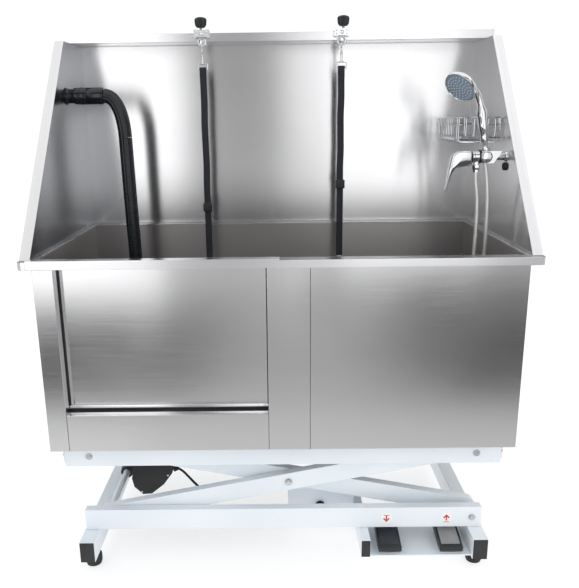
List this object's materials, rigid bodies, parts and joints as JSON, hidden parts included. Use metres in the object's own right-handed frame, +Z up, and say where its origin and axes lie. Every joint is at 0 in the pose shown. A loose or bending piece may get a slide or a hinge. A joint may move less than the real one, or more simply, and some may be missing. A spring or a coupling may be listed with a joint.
{
  "type": "pet grooming bathtub",
  "caption": "Stainless walk-in pet grooming bathtub with lift-out door, splash wings, tether straps, mixer shower and dryer hose, on a foot-operated electric scissor lift.",
  "frame": {"origin": "on the floor, under the centre of the object's box", "axes": "+Z up, +X to the user's right when facing the door side, +Y to the back splash"},
  "size_m": [1.27, 0.684, 1.477],
  "materials": {
    "steel": "brushed satin stainless sheet",
    "powder": "semi-gloss pale powder coat",
    "rubber": "matt black rubber",
    "plastic": "fine-grained black plastic",
    "chrome": "polished chrome plate",
    "webbing": "dark navy-black woven webbing",
    "nylon": "off-white nylon rollers on a steel axle"
  },
  "bodies": {
    "base": {"skid_left": "powder", "skid_right": "powder", "skid_middle": "powder", "base_rail_front": "powder", "base_rail_rear": "powder", "foot_front_left": "rubber", "foot_front_right": "rubber", "foot_rear_left": "rubber", "foot_rear_right": "rubber", "control_box": "powder", "pedal_plate": "powder"},
    "inner_arms": {"inner_arm_front": "powder", "inner_arm_rear": "powder", "push_tube": "powder"},
    "outer_arms": {"outer_arm_front": "powder", "outer_arm_rear": "powder", "actuator_cable": "rubber"},
    "tub": {"basin": "steel", "rim_frame": "steel", "left_stile": "steel", "centre_stile": "steel", "sill_panel": "steel", "front_right_panel": "steel", "side_panel_left": "steel", "side_panel_right": "steel", "rear_panel": "steel", "wing_left": "steel", "wing_right": "steel", "back_splash": "steel", "hose_fitting": "plastic", "hose_elbow": "plastic", "air_hose": "plastic", "hose_nozzle": "plastic", "mixer_body": "chrome", "shower_hose": "chrome", "soap_basket": "chrome", "top_rail_front": "powder", "top_rail_rear": "powder", "top_cross_left": "powder", "top_cross_right": "powder"},
    "door": {"door_panel": "steel", "door_seal": "rubber"},
    "drain_strainer": {"drain_strainer": "chrome"},
    "lower_roller_axle": {"lower_roller_axle": "nylon"},
    "upper_roller_axle": {"upper_roller_axle": "nylon"},
    "actuator": {"actuator_motor": "plastic"},
    "actuator_rod": {"actuator_rod": "chrome"},
    "mixer_cartridge": {"lever_base": "chrome"},
    "mixer_lever": {"mixer_lever": "chrome"},
    "handset": {"handset": "chrome"},
    "pedal_down": {"pedal_down": "rubber"},
    "pedal_up": {"pedal_up": "rubber"},
    "clamp_left": {"clamp_left": "chrome"},
    "knob_left": {"clamp_knob_left": "plastic"},
    "hook_left": {"snap_hook_left": "chrome"},
    "strap_left": {"strap_left": "webbing"},
    "clamp_right": {"clamp_right": "chrome"},
    "knob_right": {"clamp_knob_right": "plastic"},
    "hook_right": {"snap_hook_right": "chrome"},
    "strap_right": {"strap_right": "webbing"}
  },
  "joints": [
    {"name": "lift", "type": "hinge", "parent": "base", "child": "inner_arms", "pos_m": [0.516, 0, 0.1295], "axis": [0, 1, 0], "range_deg": [0, 32]},
    {"name": "scissor_centre", "type": "hinge", "parent": "inner_arms", "child": "outer_arms", "pos_m": [0.016, 0, 0.226], "axis": [0, 1, 0], "range_deg": [-64, 0]},
    {"name": "tub_level", "type": "hinge", "parent": "outer_arms", "child": "tub", "pos_m": [0.516, 0, 0.3225], "axis": [0, 1, 0], "range_deg": [0, 32]},
    {"name": "lower_rollers_spin", "type": "hinge", "parent": "outer_arms", "child": "lower_roller_axle", "pos_m": [-0.484, 0, 0.1295], "axis": [0, 1, 0], "continuous": true},
    {"name": "upper_rollers_spin", "type": "hinge", "parent": "inner_arms", "child": "upper_roller_axle", "pos_m": [-0.484, 0, 0.3225], "axis": [0, 1, 0], "continuous": true},
    {"name": "actuator_swing", "type": "hinge", "parent": "outer_arms", "child": "actuator", "pos_m": [-0.484, 0, 0.1295], "axis": [0, 1, 0], "range_deg": [-4.5, 0]},
    {"name": "actuator_stroke", "type": "slide", "parent": "actuator", "child": "actuator_rod", "axis": [0.9407, 0, 0.3392], "range_m": [0, 0.127]},
    {"name": "door_lift", "type": "slide", "parent": "tub", "child": "door", "axis": [0, 0, 1], "range_m": [0, 0.42]},
    {"name": "drain_strainer_lift", "type": "slide", "parent": "tub", "child": "drain_strainer", "axis": [0, 0, 1], "range_m": [0, 0.15]},
    {"name": "handset_lift", "type": "slide", "parent": "tub", "child": "handset", "axis": [0, 0, 1], "range_m": [0, 0.12]},
    {"name": "mixer_temperature", "type": "hinge", "parent": "tub", "child": "mixer_cartridge", "pos_m": [0.52, -0.062, 1.083], "axis": [1, 0, 0], "range_deg": [-45, 45]},
    {"name": "mixer_flow", "type": "hinge", "parent": "mixer_cartridge", "child": "mixer_lever", "pos_m": [0.5155, -0.062, 1.0985], "axis": [0, 1, 0], "range_deg": [0, 25]},
    {"name": "pedal_down_press", "type": "hinge", "parent": "base", "child": "pedal_down", "pos_m": [0.288, -0.224, 0.07], "axis": [1, 0, 0], "range_deg": [0, 3], "stiffness_Nm_per_rad": 20, "springref_deg": -5.16},
    {"name": "pedal_up_press", "type": "hinge", "parent": "base", "child": "pedal_up", "pos_m": [0.453, -0.224, 0.07], "axis": [1, 0, 0], "range_deg": [0, 3], "stiffness_Nm_per_rad": 20, "springref_deg": -5.16},
    {"name": "clamp_left_slide", "type": "slide", "parent": "tub", "child": "clamp_left", "axis": [1, 0, 0], "range_m": [-0.15, 0.15]},
    {"name": "knob_left_turn", "type": "hinge", "parent": "clamp_left", "child": "knob_left", "pos_m": [-0.227, 0.225, 1.44], "axis": [0, 0, 1], "continuous": true},
    {"name": "hook_left_swing", "type": "hinge", "parent": "clamp_left", "child": "hook_left", "pos_m": [-0.222, 0.195, 1.4], "axis": [0, 1, 0], "range_deg": [-25, 25]},
    {"name": "strap_left_swing", "type": "hinge", "parent": "hook_left", "child": "strap_left", "pos_m": [-0.222, 0.195, 1.3328], "axis": [1, 0, 0], "range_deg": [-75, 8]},
    {"name": "clamp_right_slide", "type": "slide", "parent": "tub", "child": "clamp_right", "axis": [1, 0, 0], "range_m": [-0.15, 0.15]},
    {"name": "knob_right_turn", "type": "hinge", "parent": "clamp_right", "child": "knob_right", "pos_m": [0.194, 0.225, 1.44], "axis": [0, 0, 1], "continuous": true},
    {"name": "hook_right_swing", "type": "hinge", "parent": "clamp_right", "child": "hook_right", "pos_m": [0.187, 0.195, 1.4], "axis": [0, 1, 0], "range_deg": [-25, 25]},
    {"name": "strap_right_swing", "type": "hinge", "parent": "hook_right", "child": "strap_right", "pos_m": [0.187, 0.195, 1.3328], "axis": [1, 0, 0], "range_deg": [-75, 8]}
  ],
  "couplings": [
    {"joint": "scissor_centre", "follows": "lift", "ratio": -2},
    {"joint": "tub_level", "follows": "lift", "ratio": 1},
    {"joint": "actuator_swing", "follows": "lift", "ratio": -0.1375},
    {"joint": "actuator_stroke", "follows": "lift", "m_per_rad": 0.2256}
  ]
}
